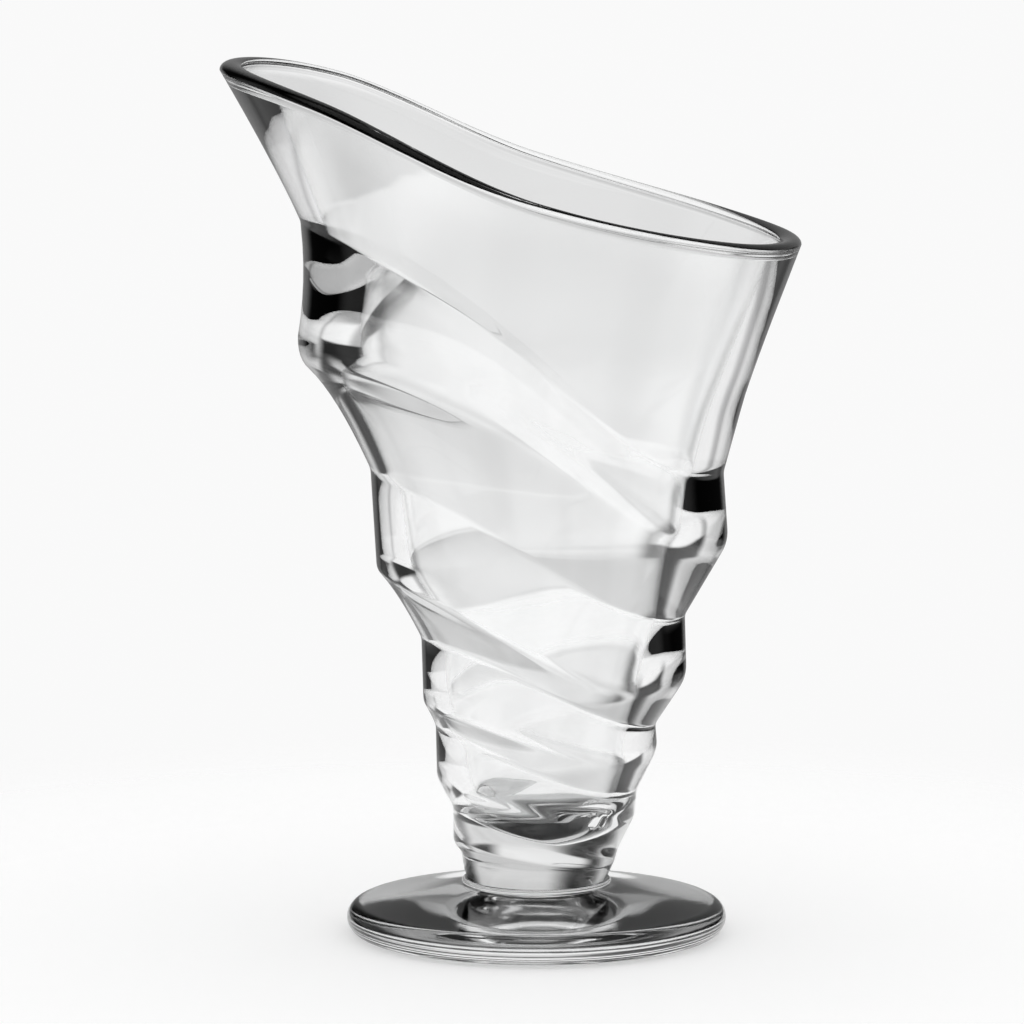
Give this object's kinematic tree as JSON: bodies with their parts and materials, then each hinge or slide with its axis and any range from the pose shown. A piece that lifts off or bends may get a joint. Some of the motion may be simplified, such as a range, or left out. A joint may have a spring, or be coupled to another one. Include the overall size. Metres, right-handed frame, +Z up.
{
  "type": "ice cream coupe",
  "caption": "Clear glass ice cream coupe: tall conical bowl with a spiral of stepped bands and an oblique flared rim, joined by a thin collar to a thick round foot.",
  "frame": {"origin": "centre of the foot's flat resting face", "axes": "+Z up along the foot's axis; -X towards the rim's high side, +X towards its low side, -Y towards the front of the spiral"},
  "size_m": [0.1209, 0.1214, 0.1836],
  "materials": {
    "foot_glass": "fire-polished clear glass",
    "collar_glass": "clear glass with fine seeds along the joint",
    "bowl_glass": "fire-polished clear glass"
  },
  "bodies": {
    "root": {"foot": "foot_glass", "collar": "collar_glass", "bowl": "bowl_glass"}
  },
  "joints": []
}
